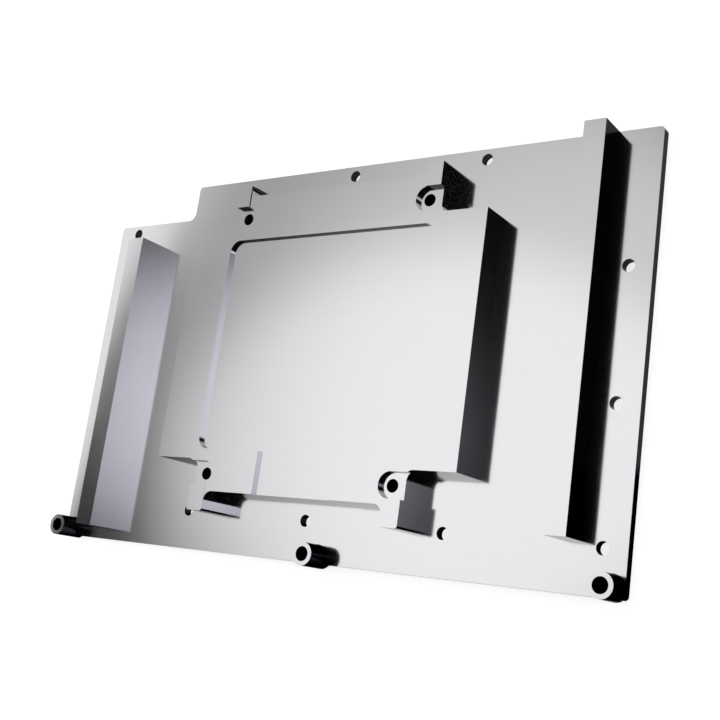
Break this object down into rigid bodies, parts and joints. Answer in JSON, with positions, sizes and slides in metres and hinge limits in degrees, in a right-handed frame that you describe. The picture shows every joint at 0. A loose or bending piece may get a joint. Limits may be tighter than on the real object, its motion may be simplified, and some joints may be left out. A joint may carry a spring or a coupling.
{
  "type": "liquid cooling cold plate",
  "caption": "Rectangular liquid cooling cold plate with a raised processor block and pocket, contact bars and standoffs in front, and cooling fins inside a seal groove behind.",
  "frame": {"origin": "middle of the part's outline, on the coolant side", "axes": "+X along the plate's long side, towards the right bar; +Y along its short side, away from the standoffs; +Z out of the contact side"},
  "size_m": [0.1804, 0.1112, 0.011],
  "materials": {
    "nickel_plate": "bright nickel plating over milled copper"
  },
  "bodies": {
    "root": {"cold_plate": "nickel_plate"}
  },
  "joints": []
}
